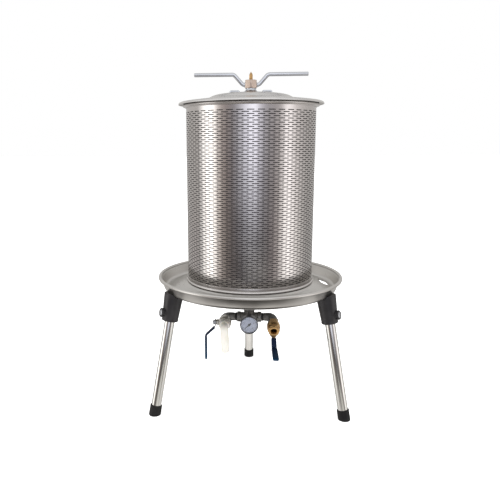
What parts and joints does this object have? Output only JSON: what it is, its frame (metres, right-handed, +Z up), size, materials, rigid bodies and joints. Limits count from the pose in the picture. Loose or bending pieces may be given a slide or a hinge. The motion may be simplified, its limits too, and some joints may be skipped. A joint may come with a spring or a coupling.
{
  "type": "basket wine press",
  "caption": "Water-bladder basket press: slotted steel basket on a juice tray with three splayed legs, domed lid, screw-down bar handle, and a water manifold with ball valves and a gauge.",
  "frame": {"origin": "on the floor, at the middle of the whole outline, 25.9 mm behind the press's own upright axis", "axes": "+Z up, +X to the right as seen from the front, -Y to the front, where the gauge and the valves are"},
  "size_m": [0.517, 0.5411, 0.868],
  "materials": {
    "basket_steel": "satin, slotted all over",
    "lid_steel": "polished",
    "tray_steel": "satin",
    "handle_steel": "satin",
    "leg_steel": "polished",
    "base_steel": "satin",
    "tube_steel": "satin",
    "hub_bronze": "satin",
    "brass": "satin",
    "fitting_iron": "galvanised, dull",
    "valve_nickel": "nickel plated",
    "ball_chrome": "polished",
    "lever_steel": "satin",
    "grip_blue": "satin",
    "white_nylon": "matt",
    "black_plastic": "satin",
    "foot_rubber": "matt",
    "seal_rubber": "matt",
    "bladder_rubber": "matt",
    "gauge_black": "gloss",
    "dial_white": "matt",
    "needle_black": "matt",
    "window_glass": "clear"
  },
  "bodies": {
    "base": {"juice_tray": "tray_steel", "basket_gasket": "seal_rubber", "base_flange": "base_steel", "neck_pipe": "fitting_iron", "centre_tube": "tube_steel", "bladder": "bladder_rubber", "bladder_lower_clamp": "base_steel", "bladder_upper_clamp": "base_steel", "vent_body": "brass", "water_cross": "fitting_iron", "seal_ring_left": "seal_rubber", "seal_ring_right": "seal_rubber", "elbow_left": "fitting_iron", "elbow_right": "fitting_iron", "drain_valve_body": "valve_nickel", "drain_valve_end": "valve_nickel", "drain_spout": "white_nylon", "inlet_valve_body": "brass", "inlet_valve_end": "brass", "gauge_stem": "brass", "gauge_case": "gauge_black", "gauge_dial": "dial_white", "gauge_window": "window_glass", "leg_socket_rear": "black_plastic", "leg_socket_left": "black_plastic", "leg_socket_right": "black_plastic"},
    "basket": {"basket_shell": "basket_steel", "basket_top_ring": "basket_steel", "basket_base_ring": "basket_steel"},
    "lid": {"lid": "lid_steel", "lid_gasket": "seal_rubber", "lid_handle_left": "handle_steel", "lid_handle_right": "handle_steel"},
    "thrust_washer": {"thrust_cone": "handle_steel"},
    "handle": {"handle_hub": "hub_bronze", "handle_arm_left": "handle_steel", "handle_arm_right": "handle_steel"},
    "vent_screw": {"vent_screw": "brass"},
    "drain_lever": {"drain_valve_ball": "ball_chrome", "drain_valve_stem": "valve_nickel", "drain_lever": "lever_steel", "drain_lever_grip": "grip_blue", "drain_lever_nut": "lever_steel"},
    "inlet_lever": {"inlet_valve_ball": "ball_chrome", "inlet_valve_stem": "brass", "inlet_lever": "lever_steel", "inlet_lever_grip": "grip_blue", "inlet_lever_nut": "lever_steel"},
    "gauge_needle": {"gauge_needle": "needle_black"},
    "knob_rear": {"leg_knob_rear": "black_plastic"},
    "knob_left": {"leg_knob_left": "black_plastic"},
    "knob_right": {"leg_knob_right": "black_plastic"},
    "leg_rear": {"leg_tube_rear": "leg_steel", "foot_cap_rear": "foot_rubber"},
    "leg_left": {"leg_tube_left": "leg_steel", "foot_cap_left": "foot_rubber"},
    "leg_right": {"leg_tube_right": "leg_steel", "foot_cap_right": "foot_rubber"}
  },
  "joints": [
    {"name": "basket_lift", "type": "slide", "parent": "base", "child": "basket", "axis": [0, 0, 1], "range_m": [0, 0.56]},
    {"name": "lid_lift", "type": "slide", "parent": "basket", "child": "lid", "axis": [0, 0, 1], "range_m": [0, 0.12]},
    {"name": "nut_lift", "type": "slide", "parent": "lid", "child": "thrust_washer", "axis": [0, 0, 1], "range_m": [0, 0.0241]},
    {"name": "handle_spin", "type": "hinge", "parent": "thrust_washer", "child": "handle", "pos_m": [0, -0.02589, 0.8377], "axis": [0, 0, 1], "range_deg": [0, 2880]},
    {"name": "vent_turn", "type": "hinge", "parent": "base", "child": "vent_screw", "pos_m": [0, -0.02589, 0.862], "axis": [0, 0, 1], "range_deg": [0, 720]},
    {"name": "drain_lever_turn", "type": "hinge", "parent": "base", "child": "drain_lever", "pos_m": [-0.0645, -0.07739, 0.224], "axis": [-1, 0, 0], "range_deg": [0, 90]},
    {"name": "inlet_lever_turn", "type": "hinge", "parent": "base", "child": "inlet_lever", "pos_m": [0.0645, -0.07626, 0.21329], "axis": [0, -0.2079, 0.9781], "range_deg": [0, 90]},
    {"name": "gauge_needle_turn", "type": "hinge", "parent": "base", "child": "gauge_needle", "pos_m": [0, -0.09789, 0.224], "axis": [0, 1, 0], "range_deg": [0, 270], "stiffness_Nm_per_rad": 0.0002},
    {"name": "knob_turn_rear", "type": "hinge", "parent": "base", "child": "knob_rear", "pos_m": [0, 0.20364, 0.26718], "axis": [0, 0.9823, 0.1874], "range_deg": [0, 720]},
    {"name": "knob_turn_left", "type": "hinge", "parent": "base", "child": "knob_left", "pos_m": [-0.19878, -0.14066, 0.26718], "axis": [-0.8507, -0.4911, 0.1874], "range_deg": [0, 720]},
    {"name": "knob_turn_right", "type": "hinge", "parent": "base", "child": "knob_right", "pos_m": [0.19878, -0.14066, 0.26718], "axis": [0.8507, -0.4911, 0.1874], "range_deg": [0, 720]},
    {"name": "leg_slide_rear", "type": "slide", "parent": "base", "child": "leg_rear", "axis": [0, 0.1874, -0.9823], "range_m": [0, 0.06]},
    {"name": "leg_slide_left", "type": "slide", "parent": "base", "child": "leg_left", "axis": [-0.1623, -0.0937, -0.9823], "range_m": [0, 0.06]},
    {"name": "leg_slide_right", "type": "slide", "parent": "base", "child": "leg_right", "axis": [0.1623, -0.0937, -0.9823], "range_m": [0, 0.06]}
  ],
  "couplings": [
    {"joint": "nut_lift", "follows": "handle_spin", "m_per_rad": 0.00047746}
  ]
}
